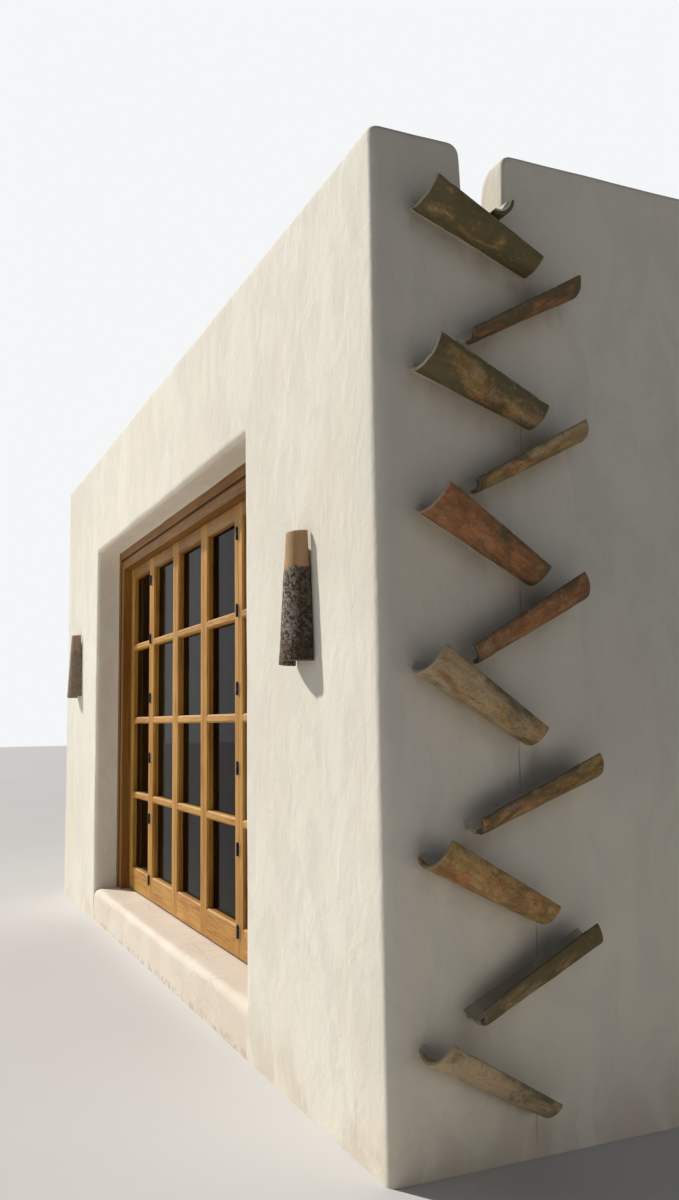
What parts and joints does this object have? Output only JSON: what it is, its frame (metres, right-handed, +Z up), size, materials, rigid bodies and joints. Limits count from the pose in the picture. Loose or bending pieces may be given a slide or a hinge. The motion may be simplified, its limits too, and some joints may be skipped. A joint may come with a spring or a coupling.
{
  "type": "adobe house",
  "caption": "Flat-roofed plastered masonry house with folding glazed timber doors, upright clay-tile wall lights and a zigzag rain cascade of half-round clay tiles.",
  "frame": {"origin": "on the ground under the middle of the house, on the floor slab's underside", "axes": "+X along the front toward the side wall with the rain cascade, -Y out of the front, +Z up"},
  "size_m": [6.1079, 4.2949, 3.32],
  "materials": {
    "plaster": "matte",
    "step_plaster": "matte",
    "timber": "satin",
    "glass": "gloss",
    "bronze": "satin",
    "clay": "matte",
    "lichened_clay": "matte",
    "lamp": "satin"
  },
  "bodies": {
    "root": {"front_left_pier": "plaster", "front_right_pier": "plaster", "front_lintel": "plaster", "right_side_wall": "plaster", "left_side_wall": "plaster", "back_wall": "plaster", "roof_slab": "plaster", "door_step": "step_plaster", "floor_slab": "step_plaster", "frame_head": "timber", "frame_left_jamb": "timber", "frame_right_jamb": "timber", "leaf_1": "timber", "leaf_2": "timber", "leaf_3": "timber", "leaf_4": "timber", "leaf_5": "timber", "glass_1": "glass", "glass_2": "glass", "glass_3": "glass", "glass_4": "glass", "glass_5": "glass", "hinges_outer_left": "bronze", "hinges_outer_right": "bronze", "hinges_inner": "bronze", "scupper_tile": "clay", "cascade_tile_01": "clay", "cascade_tile_02": "clay", "cascade_tile_03": "clay", "cascade_tile_04": "clay", "cascade_tile_05": "clay", "cascade_tile_06": "clay", "cascade_tile_07": "clay", "cascade_tile_08": "clay", "cascade_tile_09": "clay", "cascade_tile_10": "clay", "cascade_tile_11": "clay", "wall_light_left": "lichened_clay", "wall_light_right": "lichened_clay", "lamp_left": "lamp", "lamp_right": "lamp"}
  },
  "joints": []
}
